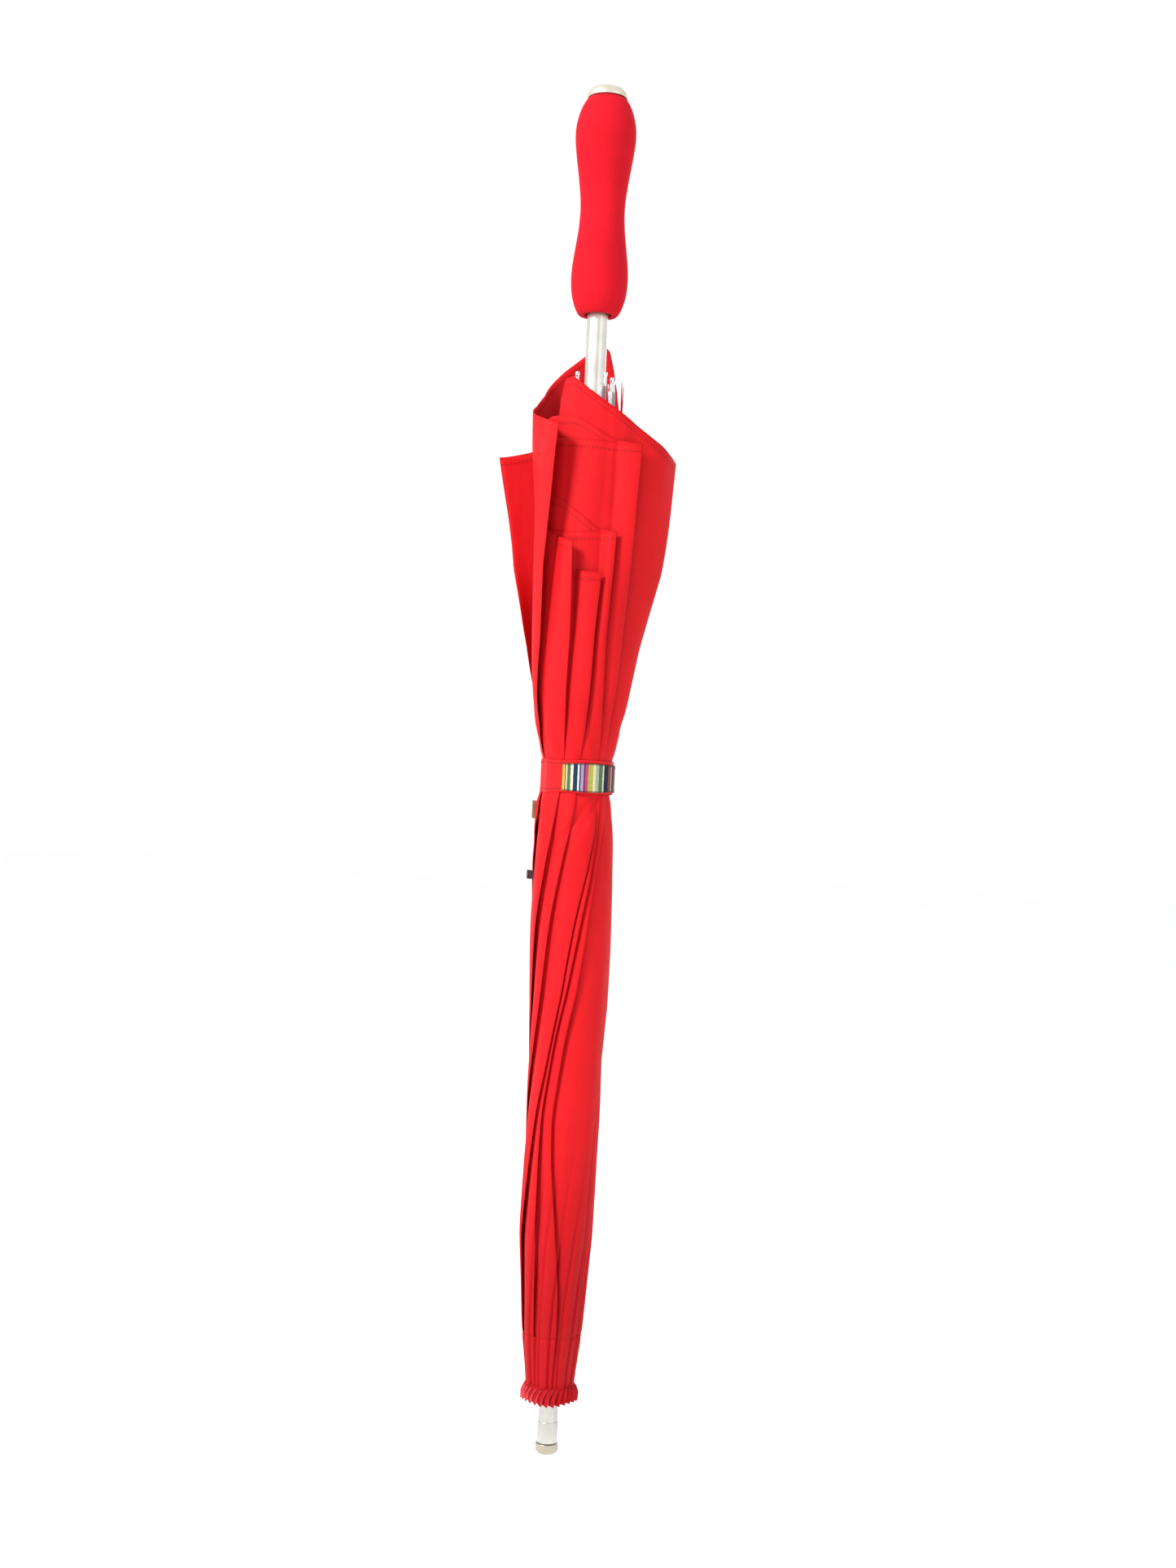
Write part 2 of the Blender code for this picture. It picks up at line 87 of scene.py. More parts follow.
# Folded canopy. Each flap is one gore folded in two and wrapped round the frame.
# fold: the folded edge's side angle at its corner, at 550, at 490 and at the strap.
# flare: how far the edge stands off, and over how many degrees. hem: (side, height) along the wrap.
# rise: how far the hidden ply's hem stands above the outer one's.
FLAPS = (
    dict(fold=(-28, -50, -67, -74), flare=(11, 30), rise=0, hem=(
        (-388, 665), (-270, 662), (-224, 672), (-214, 694), (-206, 724), (-197, 751), (-186, 757),
        (-172, 750), (-140, 735), (-110, 716), (-93, 706), (-75, 698), (-28, 687))),
    dict(fold=(-14, -15, -18, -25), flare=(7, 26), rise=3, hem=(
        (-343, 655), (-90, 640), (-50, 617), (-14, 611))),
    dict(fold=(18, 12, 8, 3), flare=(5, 26), rise=3, hem=(
        (-298, 650), (-60, 610), (-14, 592), (18, 591))),
    dict(fold=(29, 27, 31, 40), flare=(5, 22), rise=22, hem=(
        (-253, 652), (-60, 621), (-30, 618), (29, 619))),
    dict(fold=(47, 46, 46, 47), flare=(5, 24), rise=15, hem=(
        (-208, 668), (-60, 681), (-20, 680), (47, 677))),
    dict(fold=(88, 84, 72, 60), flare=(14, 44), rise=0, hem=(
        (-163, 668), (-66, 664), (-54, 672), (-47, 706), (-40, 720), (-27, 721), (16, 704),
        (45, 692), (61, 682), (75, 675), (88, 670))),
    dict(fold=(252, 240, 196, 140), flare=(16, 26), rise=0, hem=(
        (-118, 655), (88, 652), (150, 648), (220, 618), (252, 596))),
    dict(fold=(267, 264, 246, 215), flare=(21, 30), rise=6, hem=(
        (-73, 658), (150, 664), (200, 688), (240, 686), (267, 670))),
)
# The first flap's seam is on this rib, one turn back, so that sides grow from flap to flap.
FIRST_FLAP_RIB = 5
FIRST_SEAM_SIDE = FIRST_RIB_SIDE + FIRST_FLAP_RIB * STEP - 360
FLAP_HEIGHTS = (550, 490)

# Degrees by which the folds are turned below the strap, the bundle's outer radius, and the share
# of a flap's flare, each by height. All three were judged from the photo.
TWIST = (
    (60, -112), (148, -104), (200, -95), (229, -87), (260, -71),
    (312, -48), (363, -32), (431, -5), (456, 0),
)
SIDE_OUTLINE = (
    (44, 15.2), (50, 15.7), (63, 17.2), (84, 20), (103, 21.3), (126, 22.8), (148, 24.4), (210, 24.6),
    (266, 25), (312, 26.2), (352, 27.2), (385, 27), (420, 26), (443, 24.3), (468, 23.3), (478, 26.2),
    (494, 29.4), (515, 32.5), (544, 35.5), (570, 38), (595, 40.5), (624, 42.5), (670, 45), (760, 46),
)
FLARE_GROWTH = (
    (480, 0), (515, 0.08), (544, 0.2), (570, 0.42), (595, 0.65), (624, 0.78), (670, 1), (760, 1.15),
)

# Heights, distances and thickness of the cloth, in millimetres. The bends are how far a rib's end
# leans in.
SEAM_HEM = 722
ABOVE_CORNERS = 740
CANOPY_BOTTOM = 47
GORE_BOTTOM = NOTCH_HEIGHT + 1.5
CROWN_TOP = 82
SEAM_CLEARANCE = 3.0
RIB_BENDS = {0: 11, 1: 7, 3: 9, 4: 10, 7: 11}
CLOTH = 0.22

# How the gores narrow and tuck in under the crown. The crown stands off them, except at its rim.
NARROWEST = 0.3
NARROW_LENGTH = 24
TUCK_SHARE = 0.35
TUCK_LENGTH = 5
CROWN_LIFT = 0.4
CROWN_RIM = 6

# Degrees round from a seam: the hem's tongue up to the rib's end, the join of the hidden ply to
# the next gore, and the reach of a rib's bend. The hem's rise fades over the last one.
SEAM_TONGUE = 11
SEAM_JOIN = 14
BEND_REACH = 50
RISE_FADE = 75

# How fine the gores, their weights, the rounded corners and the rosette's pleats are.
ROWS = 160
OUTER_COLUMNS = 104
INNER_COLUMNS = 72
HALVINGS = 18
SMOOTHINGS = 6
CORNER_STEPS = 5
PLEATS = 28


def srgb(red, green, blue):
    """A colour given as on a screen, 0 to 255, as linear light."""
    values = []
    for value in (red, green, blue):
        value /= 255
        values.append(value / 12.92 if value <= 0.04045 else ((value + 0.055) / 1.055) ** 2.4)
    return (*values, 1)


class Nodes:
    """A material's node tree, with short calls to add and join nodes."""

    def __init__(self, name, roughness=0.5, metallic=0.0, sheen=0.0):
        self.material = bpy.data.materials.new(name)
        self.material.use_nodes = True
        self.tree = self.material.node_tree
        self.shader = self.tree.nodes["Principled BSDF"]
        self.shader.inputs["Roughness"].default_value = roughness
        self.shader.inputs["Metallic"].default_value = metallic
        self.shader.inputs["Sheen Weight"].default_value = sheen
        self.bumps = []

    def add(self, kind, **values):
        node = self.tree.nodes.new(kind)
        for key, value in values.items():
            if hasattr(node, key):
                setattr(node, key, value)
            else:
                node.inputs[key.replace("_", " ")].default_value = value
        return node

    def link(self, output, target):
        self.tree.links.new(output, target)

    def object_place(self, scale=(1, 1, 1)):
        place = self.add("ShaderNodeTexCoord")
        mapping = self.add("ShaderNodeMapping")
        mapping.inputs["Scale"].default_value = scale
        self.link(place.outputs["Object"], mapping.inputs["Vector"])
        return mapping.outputs["Vector"]

    def uv_place(self, scale=(1, 1, 1)):
        place = self.add("ShaderNodeUVMap", uv_map="UVMap")
        mapping = self.add("ShaderNodeMapping")
        mapping.inputs["Scale"].default_value = scale
        self.link(place.outputs["UV"], mapping.inputs["Vector"])
        return mapping.outputs["Vector"]

    def noise(self, place, scale, detail=3.0, roughness=0.5):
        node = self.add("ShaderNodeTexNoise", Scale=scale, Detail=detail, Roughness=roughness)
        self.link(place, node.inputs["Vector"])
        return node.outputs["Fac"]

    def math(self, operation, first, second=0.0, third=0.0):
        node = self.add("ShaderNodeMath", operation=operation)
        for index, value in enumerate((first, second, third)):
            if isinstance(value, (int, float)):
                node.inputs[index].default_value = value
            else:
                self.link(value, node.inputs[index])
        return node.outputs["Value"]

    def ramp(self, value, stops, constant=False):
        node = self.add("ShaderNodeValToRGB")
        ramp = node.color_ramp
        ramp.interpolation = "CONSTANT" if constant else "LINEAR"
        ramp.elements[0].position, ramp.elements[0].color = stops[0]
        ramp.elements[1].position, ramp.elements[1].color = stops[-1]
        for position, colour in stops[1:-1]:
            ramp.elements.new(position).color = colour
        self.link(value, node.inputs["Fac"])
        return node.outputs["Color"]

    def blotches(self, value, dark, light):
        """A colour that passes from dark to light, both as on a screen, over the middle of a noise."""
        return self.ramp(value, ((0.3, srgb(*dark)), (0.7, srgb(*light))))

    def mix(self, share, first, second):
        node = self.add("ShaderNodeMix", data_type="RGBA")
        # Inputs 0, 6 and 7 and output 2 are the ones that a colour mix uses.
        for socket, value in ((node.inputs[0], share), (node.inputs[6], first), (node.inputs[7], second)):
            if hasattr(value, "node"):
                self.link(value, socket)
            else:
                socket.default_value = value
        return node.outputs[2]

    def colour(self, socket):
        self.link(socket, self.shader.inputs["Base Color"])

    def roughness(self, value, low, high):
        node = self.add("ShaderNodeMapRange")
        node.inputs["To Min"].default_value = low
        node.inputs["To Max"].default_value = high
        self.link(value, node.inputs["Value"])
        self.link(node.outputs["Result"], self.shader.inputs["Roughness"])

    def bump(self, height, distance, strength=1.0):
        node = self.add("ShaderNodeBump", Strength=strength, Distance=distance)
        self.link(height, node.inputs["Height"])
        if self.bumps:
            self.link(self.bumps[-1].outputs["Normal"], node.inputs["Normal"])
        self.bumps.append(node)
        self.link(node.outputs["Normal"], self.shader.inputs["Normal"])


def weave(nodes, pitch):
    """The over and under of a plain weave, with threads that far apart in metres."""
    place = nodes.add("ShaderNodeSeparateXYZ")
    nodes.link(nodes.uv_place((math.tau / pitch, math.tau / pitch, 1)), place.inputs["Vector"])
    across = nodes.math("SINE", place.outputs["X"])
    along = nodes.math("SINE", place.outputs["Y"])
    return nodes.math("MULTIPLY", across, along)


def hem_marks(nodes, width, stitch, thread=0.0004):
    """Masks of a folded hem and of its row of stitches, from UVs whose Y is the depth below the edge.
    The row lies row_share of the way down the hem, and thread fills dash_share of each stitch."""
    place = nodes.add("ShaderNodeSeparateXYZ")
    nodes.link(nodes.uv_place(), place.inputs["Vector"])
    row_share, dash_share = 0.82, 0.62
    hem = nodes.math("LESS_THAN", place.outputs["Y"], width)
    depth = nodes.math("SUBTRACT", place.outputs["Y"], width * row_share)
    line = nodes.math("LESS_THAN", nodes.math("ABSOLUTE", depth), thread)
    step = nodes.math("FRACT", nodes.math("DIVIDE", place.outputs["X"], stitch))
    dash = nodes.math("LESS_THAN", step, dash_share)
    return hem, nodes.math("MULTIPLY", line, dash)


def canopy_cloth():
    """Red woven cloth with a stitched hem, and painted shade that darkens it towards the tip."""
    nodes = Nodes("canopy_cloth", roughness=0.6, sheen=0.04)
    nodes.shader.inputs["Specular IOR Level"].default_value = 0.12
    place = nodes.object_place()
    cloudy = nodes.noise(place, 14, 3)
    base = nodes.blotches(cloudy, (192, 14, 21), (204, 19, 26))
    streaks = nodes.noise(nodes.object_place((1, 1, 0.08)), 260, 2)
    base = nodes.mix(nodes.math("MULTIPLY", streaks, 0.16), base, srgb(160, 7, 15))
    hem, stitches = hem_marks(nodes, 0.0062, 0.0028)
    base = nodes.mix(nodes.math("MULTIPLY", hem, 0.12), base, srgb(170, 10, 20))
    base = nodes.mix(nodes.math("MULTIPLY", stitches, 0.5), base, srgb(120, 6, 14))
    # Painted shade: below a set height above the tip the cloth is mixed towards a darker red.
    depth = nodes.add("ShaderNodeSeparateXYZ")
    nodes.link(place, depth.inputs["Vector"])
    shade_below, per_metre, deepest_shade = 0.24, 3.4, 0.5
    low = nodes.math("MULTIPLY_ADD", depth.outputs["Z"], -per_metre, per_metre * (TIP + shade_below))
    low = nodes.math("MINIMUM", nodes.math("MAXIMUM", low, 0.0), deepest_shade)
    nodes.colour(nodes.mix(low, base, srgb(136, 0, 12)))
    nodes.roughness(cloudy, 0.5, 0.68)
    nodes.bump(nodes.noise(place, 60, 3), 0.0012, 0.35)
    nodes.bump(streaks, 0.0005, 0.35)
    nodes.bump(weave(nodes, 0.0007), 0.00006, 0.6)
    nodes.bump(hem, 0.0003, 0.8)
    nodes.bump(stitches, -0.0003, 0.8)
    nodes.shader.inputs["Sheen Roughness"].default_value = 0.4
    nodes.shader.inputs["Sheen Tint"].default_value = srgb(255, 120, 120)
    return nodes.material


def rosette_cloth():
    """Deep red cloth whose pleats have painted highlights along their edges and painted shade in their
    hollows.
    """
    nodes = Nodes("rosette_cloth", roughness=0.8)
    nodes.shader.inputs["Specular IOR Level"].default_value = 0.15
    base = nodes.blotches(nodes.noise(nodes.object_place(), 160, 3), (150, 2, 16), (172, 6, 22))
    place = nodes.add("ShaderNodeSeparateXYZ")
    nodes.link(nodes.uv_place(), place.inputs["Vector"])
    tooth = nodes.math("FRACT", nodes.math("MULTIPLY", place.outputs["X"], PLEATS))
    # On the lower part, painted shade in each pleat's hollow and a painted highlight along each tooth's edge.
    low = nodes.math("GREATER_THAN", place.outputs["Y"], 0.45)
    pleat_shade = nodes.math("MULTIPLY", nodes.math("LESS_THAN", tooth, 0.3), low)
    edge = nodes.math("MULTIPLY", nodes.math("GREATER_THAN", tooth, 0.8), low)
    base = nodes.mix(nodes.math("MULTIPLY", pleat_shade, 0.6), base, srgb(84, 0, 8))
    nodes.colour(nodes.mix(nodes.math("MULTIPLY", edge, 0.55), base, srgb(236, 96, 100)))
    nodes.bump(nodes.noise(nodes.object_place(), 900, 2), 0.0002, 0.5)
    return nodes.material


def foam():
    """Red foam with fine cells and painted shade in their pits."""
    nodes = Nodes("grip_foam_cells", roughness=0.9)
    nodes.shader.inputs["Specular IOR Level"].default_value = 0.12
    place = nodes.object_place()
    cells = nodes.add("ShaderNodeTexVoronoi", Scale=900.0)
    nodes.link(place, cells.inputs["Vector"])
    patches = nodes.noise(place, 30, 4)
    base = nodes.blotches(patches, (184, 12, 28), (198, 18, 34))
    # Painted shade: the middle of each cell is darkened.
    pit_shade = nodes.math("LESS_THAN", cells.outputs["Distance"], 0.22)
    nodes.colour(nodes.mix(nodes.math("MULTIPLY", pit_shade, 0.35), base, srgb(140, 10, 24)))
    nodes.roughness(patches, 0.78, 0.95)
    nodes.bump(cells.outputs["Distance"], 0.0002, 0.5)
    nodes.bump(nodes.noise(place, 240, 3), 0.0004, 0.4)
    return nodes.material


def metal(name, dark, light, roughness, grain=(1, 1, 0.05), metallic=1.0):
    """Drawn or turned metal: fine grain lines and faint smudges."""
    nodes = Nodes(name, roughness=roughness, metallic=metallic)
    lines = nodes.noise(nodes.object_place(grain), 900, 4, 0.6)
    smudges = nodes.noise(nodes.object_place(), 45, 4)
    base = nodes.blotches(smudges, dark, light)
    nodes.colour(nodes.mix(nodes.math("MULTIPLY", lines, 0.12), base, srgb(*(0.75 * c for c in dark))))
    nodes.roughness(smudges, roughness - 0.04, roughness + 0.1)
    nodes.bump(lines, 0.00002, 0.3)
    return nodes.material


def moulded(name, dark, light, roughness=0.45):
    """Moulded plastic with a faint grain."""
    nodes = Nodes(name, roughness=roughness)
    place = nodes.object_place()
    patches = nodes.noise(place, 120, 3)
    nodes.colour(nodes.blotches(patches, dark, light))
    nodes.roughness(patches, roughness - 0.08, roughness + 0.1)
    nodes.bump(nodes.noise(place, 1500, 2), 0.00008, 0.5)
    return nodes.material


def tape(name, dark, light, pitch=0.0006):
    """Narrow woven tape."""
    nodes = Nodes(name, roughness=0.75, sheen=0.3)
    woven = weave(nodes, pitch)
    patches = nodes.noise(nodes.object_place(), 200, 3)
    nodes.colour(nodes.blotches(patches, dark, light))
    nodes.roughness(patches, 0.65, 0.85)
    nodes.bump(woven, 0.0001, 0.7)
    return nodes.material


# The tab's stripes: where each starts along it, as a share, and its colour as on a screen. Both
# were judged from the photo.
STRIPES = (
    (0.0, (250, 200, 70)), (0.03, (110, 84, 50)), (0.045, (246, 242, 226)), (0.061, (96, 122, 56)),
    (0.106, (240, 240, 226)), (0.141, (24, 56, 78)), (0.2, (244, 244, 236)), (0.221, (44, 60, 92)),
    (0.242, (186, 160, 196)), (0.274, (104, 36, 84)), (0.296, (206, 74, 128)), (0.336, (196, 190, 84)),
    (0.412, (244, 236, 180)), (0.448, (172, 190, 176)), (0.495, (96, 128, 66)), (0.553, (244, 242, 230)),
    (0.577, (22, 34, 58)), (0.661, (140, 84, 84)), (0.719, (232, 218, 180)), (0.74, (104, 26, 52)),
    (0.86, (198, 170, 110)), (0.9, (60, 30, 60)), (0.94, (120, 60, 70)), (0.97, (70, 20, 44)),
)


def striped_cloth():
    """The tab's striped cloth, its stripes roughened by the weave; the woven name is left out."""
    nodes = Nodes("striped_tab_cloth", roughness=0.7, sheen=0.03)
    nodes.shader.inputs["Specular IOR Level"].default_value = 0.15
    place = nodes.add("ShaderNodeSeparateXYZ")
    nodes.link(nodes.uv_place(), place.inputs["Vector"])
    woven = weave(nodes, 0.0009)
    length = math.radians(TAB_SPAN) * (STRAP_RADIUS + TAB_LIFT) * MM
    shifted = nodes.math("MULTIPLY_ADD", woven, 0.0035, nodes.math("DIVIDE", place.outputs["X"], length))
    base = nodes.ramp(shifted, [(where, srgb(*colour)) for where, colour in STRIPES], constant=True)
    flecks = nodes.noise(nodes.uv_place((1600, 500, 1)), 1.0, 2)
    base = nodes.mix(nodes.math("MULTIPLY", flecks, 0.4), base, srgb(40, 34, 50))
    edge = nodes.math("LESS_THAN", place.outputs["Y"], 0.0009)
    nodes.colour(nodes.mix(nodes.math("MULTIPLY", edge, 0.6), base, srgb(50, 30, 34)))
    nodes.bump(woven, 0.00025, 0.9)
    return nodes.material


def ground():
    nodes = Nodes("pale_floor", roughness=0.9)
    spots = nodes.noise(nodes.object_place(), 3, 3)
    nodes.colour(nodes.ramp(spots, ((0.3, (0.975, 0.975, 0.975, 1)), (0.7, (0.995, 0.995, 0.995, 1)))))
    return nodes.material


def new_object(name, points, faces, finish, uvs=None):
    """A smooth mesh object from points in metres; uvs holds one pair for each point."""
    mesh = bpy.data.meshes.new(name)
    mesh.from_pydata([tuple(map(float, p)) for p in points], [], faces)
    mesh.update()
    mesh.shade_smooth()
    if uvs is not None:
        layer = mesh.uv_layers.new(name="UVMap")
        corners = np.zeros(len(mesh.loops), int)
        mesh.loops.foreach_get("vertex_index", corners)
        layer.data.foreach_set("uv", np.asarray(uvs, float)[corners].ravel())
    obj = bpy.data.objects.new(name, mesh)
    bpy.context.scene.collection.objects.link(obj)
    mesh.materials.append(finish)
    return obj


def grid_faces(rows, columns, wrap=False):
    """Faces between the points of a grid, joined into a ring if wrap is set."""
    faces = []
    for row in range(rows - 1):
        for column in range(columns if wrap else columns - 1):
            after = (column + 1) % columns
            here, above = row * columns, (row + 1) * columns
            faces.append((here + column, here + after, above + after, above + column))
    return faces


def solid(obj, thickness):
    """Gives a sheet its thickness in millimetres, half to each side."""
    thicken = obj.modifiers.new("Thickness", "SOLIDIFY")
    thicken.thickness = thickness * MM
    thicken.offset = 0.0
    return obj


def rounded(outline):
    """An outline of (radius, height, corner radius) with its corners rounded."""
    points = []
    for index, (radius, height, corner) in enumerate(outline):
        here = np.array((radius, height), float)
        if not corner:
            points.append(here)
            continue
        before = np.array(outline[index - 1][:2], float) - here
        after = np.array(outline[(index + 1) % len(outline)][:2], float) - here
        start = here + before / np.linalg.norm(before) * corner
        end = here + after / np.linalg.norm(after) * corner
        for k in range(CORNER_STEPS + 1):
            t = k / CORNER_STEPS
            points.append((1 - t) ** 2 * start + 2 * t * (1 - t) * here + t * t * end)
    return points


def turned(name, outline, finish, segments=96):
    """A turned piece; outline is (radius, height) in millimetres, outer side upwards."""
    outline = np.array(outline, float)
    angles = np.arange(segments) * math.tau / segments
    points = []
    for radius, height in outline:
        for angle in angles:
            points.append((radius * MM * math.cos(angle), radius * MM * math.sin(angle), TIP + height * MM))
    rows = len(outline)
    faces = grid_faces(rows, segments, wrap=True)
    last = (rows - 1) * segments
    for k in range(segments):
        after = (k + 1) % segments
        faces.append((last + k, last + after, after, k))
    along = np.concatenate([[0], np.cumsum(np.hypot(*np.diff(outline, axis=0).T))]) * MM
    uvs = [(angle * outline[:, 0].max() * MM, rise) for rise in along for angle in angles]
    obj = new_object(name, points, faces, finish, uvs)
    obj.data.set_sharp_from_angle(angle=math.radians(40))
    return obj


def side_point(radius, side, height):
    """A point from radius, side angle in degrees and height from the tip, all as arrays or numbers."""
    azimuth = np.radians(np.asarray(side, float) + 270)
    radius = np.asarray(radius, float) * MM
    rise = TIP + np.asarray(height, float) * MM
    return np.stack(np.broadcast_arrays(radius * np.cos(azimuth), radius * np.sin(azimuth), rise), -1)


def smooth(value):
    """A value held between 0 and 1, eased at both ends."""
    value = np.clip(value, 0, 1)
    return value * value * (3 - 2 * value)


def eased(line, window):
    """A row of values smoothed with a window of weights, its ends held."""
    padded = np.pad(line, len(window) // 2, mode="edge")
    return np.convolve(padded, window / window.sum(), mode="valid")


def curve_through(heights, pairs):
    """Values at the heights given, on a smoothed line through (height, value) pairs."""
    pairs = sorted(pairs)
    margin = 40
    fine = np.arange(pairs[0][0] - margin, pairs[-1][0] + margin, 2.0)
    line = eased(np.interp(fine, *zip(*pairs)), np.hanning(13))
    return np.interp(heights, fine, line)


def run_across(grid):
    """How far along its row each point of a grid lies, in metres."""
    lengths = np.linalg.norm(np.diff(grid, axis=1), axis=2)
    return np.concatenate([np.zeros((len(grid), 1)), np.cumsum(lengths, axis=1)], axis=1)


def fold_side(flap, heights, under_crown=False):
    """Where a flap's folded edge lies at each height, as a side angle; flap may be any whole number.
    Under the crown the gores are narrow, so they reach less far round."""
    turn, k = divmod(flap, RIBS)
    at_corner, at_upper, at_lower, at_strap = FLAPS[k]["fold"]
    corner = FLAPS[k]["hem"][-1][1]
    upper, lower = FLAP_HEIGHTS
    above = [
        (STRAP_MID, at_strap), (lower, at_lower), (upper, at_upper),
        (corner, at_corner), (ABOVE_CORNERS, at_corner),
    ]
    middle = sum(flap["fold"][3] for flap in FLAPS) / RIBS
    even = middle + STEP * (k - (RIBS - 1) / 2)
    twist = curve_through(heights, TWIST)
    relaxed = smooth((300 - heights) / 230)
    below = at_strap + twist + relaxed * (even - at_strap)
    side = np.where(heights > STRAP_MID, curve_through(heights, above), below)
    wander = 1.3 * np.sin(heights / 31 + 2.1 * k) * smooth(np.abs(heights - STRAP_MID) / 60)
    side = side + wander + 360 * turn
    if under_crown:
        seam = FIRST_SEAM_SIDE + STEP * flap
        reach = NARROWEST + (1 - NARROWEST) * smooth((heights - GORE_BOTTOM) / NARROW_LENGTH)
        side = seam + (side - seam) * reach
    return side


def outer_radius(side, heights):
    """The bundle's outside: rounder below the strap, broader than deep at the mouth."""
    # Drawn in by the strap.
    radius = curve_through(heights, SIDE_OUTLINE)
    cinch = np.interp(heights, (440, STRAP_LOW, STRAP_HIGH, 472), (0, 1, 1, 0))
    radius = radius * (1 - cinch) + (STRAP_RADIUS - 0.9) * cinch
    # Flatter from front to back and narrower on the left at the mouth, and leaning sideways.
    angle = np.radians(side)
    mouth = smooth((heights - 500) / 140)
    radius = radius * (1 - 0.2 * mouth * np.cos(angle) ** 2)
    radius = radius * (1 - 0.11 * mouth * np.clip(-np.sin(angle), 0, 1))
    lean = np.interp(heights, (150, 230, 300, 360, 410, 440, 470), (0, 1, 1, 0, -0.4, -0.9, 0))
    radius = radius + 1.4 * lean * np.sin(angle)
    # Small ripples, puckers beside the strap, and two slanting creases just under it.
    free = 1 - cinch
    ripple = 0.25 * np.sin(5 * angle + heights / 70) + 0.18 * np.sin(9 * angle - heights / 43)
    near_strap = np.exp(-np.abs(heights - STRAP_MID) / 30)
    pucker = 0.9 * near_strap * np.sin(13 * angle + heights / 11 + 1.4 * np.sin(heights / 13))
    for start, strength in ((28, 2.2), (42, 1.4)):
        across = (side - start - 1.55 * (heights - 444)) * 0.36
        length = np.interp(heights, (412, 424, 446), (0, 1, 1)) * (heights < STRAP_LOW)
        pucker = pucker - strength * length * np.exp(-((across / 2.2) ** 2))
    # Billows at the mouth and narrow pleats towards the tip.
    billow = mouth * (1.5 * np.sin(3 * angle + heights / 38) + 0.8 * np.sin(7 * angle - heights / 27))
    along = side - curve_through(heights, TWIST) + 5 * np.sin(heights / 47)
    pleats = -1.5 * smooth((230 - heights) / 120) * np.exp(-((np.sin(np.radians(8 * along)) / 0.34) ** 2))
    return radius + free * (ripple + pucker + billow + pleats)


def rib_bend(rib, heights):
    """How far a sprung rib leans in towards the shaft above the strap, in millimetres."""
    return RIB_BENDS.get(rib % RIBS, 0) * smooth((heights - STRAP_HIGH) / (RIB_END_HEIGHT - STRAP_HIGH))


def inner_radius(heights):
    """The radius that the seams lie on, just outside the ribs."""
    return NOTCH_RADIUS + RIB_SLOPE * (heights - NOTCH_HEIGHT) + SEAM_CLEARANCE


def wrap_depth(flap, side, heights, under_crown):
    """How many folded edges lie between a point of a flap and that flap's own edge, the degrees
    between the two edges either side of it, and the valley beside those edges in millimetres."""
    depth = np.zeros_like(side)
    room = np.full_like(side, 1.0)
    valley = np.zeros_like(side)
    for j in range(flap - 9, flap + 1):
        low, high = fold_side(j - 1, heights, under_crown), fold_side(j, heights, under_crown)
        inside = (side >= low) & (side < high)
        depth[inside] = (flap - j + (high - side) / np.maximum(high - low, 1e-6))[inside]
        room[inside] = np.broadcast_to(high - low, side.shape)[inside]
        beside = valley_depth(j - 1, heights) * np.exp(-(side - low) / 8)
        if j < flap:
            beside = np.maximum(beside, valley_depth(j, heights) * np.exp(-(high - side) / 5))
        valley[inside] = beside[inside]
    return depth, room, valley


def valley_depth(fold, heights):
    """How deep the cloth dips beside a folded edge; it varies along the edge."""
    free = smooth((np.abs(heights - STRAP_MID) - 10) / 40)
    wave = 0.5 + 0.5 * np.sin(heights / 33 + 2.3 * (fold % RIBS))
    share = np.interp(heights, (60, 110, 440, 560, 700), (0.2, 1, 1, 1.1, 0.5))
    return free * (0.9 + 1.7 * wave) * share


def wrapped_radius(flap, side, heights, under_crown=False):
    """The radius of a flap's cloth, from its edge on the outside to its seam on the ribs."""
    depth, room, valley = wrap_depth(flap, side, heights, under_crown)
    outside, inside = outer_radius(side, heights), inner_radius(heights)
    first = np.interp(heights, (60, 440, 470, 560, 640), (0.3, 0.36, 0.36, 0.26, 0.24))
    drop = np.where(depth < 1, first * depth, first + (1 - first) * (depth - 1) / 7.4)
    mouth = smooth((heights - 480) / 120)
    on_top = np.clip(depth, 0, 1)
    bulge = (1.1 + 1.2 * mouth) * np.sin(np.pi * on_top) * smooth(np.abs(heights - STRAP_MID) / 40)
    amount, width = FLAPS[flap % RIBS]["flare"]
    near = np.clip(1 - on_top * room / np.minimum(width, room), 0, 1)
    flare = amount * np.interp(heights, *zip(*FLARE_GROWTH)) * near**1.7
    sunk = np.minimum(valley, 0.6 * (outside - inside)) * (1 - drop)
    return outside - (outside - inside) * drop - sunk + np.where(depth < 1, bulge + flare, 0)


def hem_height(flap, side, start_side, rise):
    """Height of a flap's hem: its own line along the wrap, pulled up to the rib's end at its seam."""
    line = FLAPS[flap]["hem"]
    fine = np.arange(line[0][0] - 10, line[-1][0] + 10, 1.0)
    values = eased(np.interp(fine, *zip(*line)), np.hanning(9)[1:-1])
    lifted = np.interp(side, fine, values) + rise * smooth((line[-1][0] - side) / RISE_FADE)
    seam = np.clip(1 - (side - start_side) / SEAM_TONGUE, 0, 1)
    return lifted + (SEAM_HEM - lifted) * seam


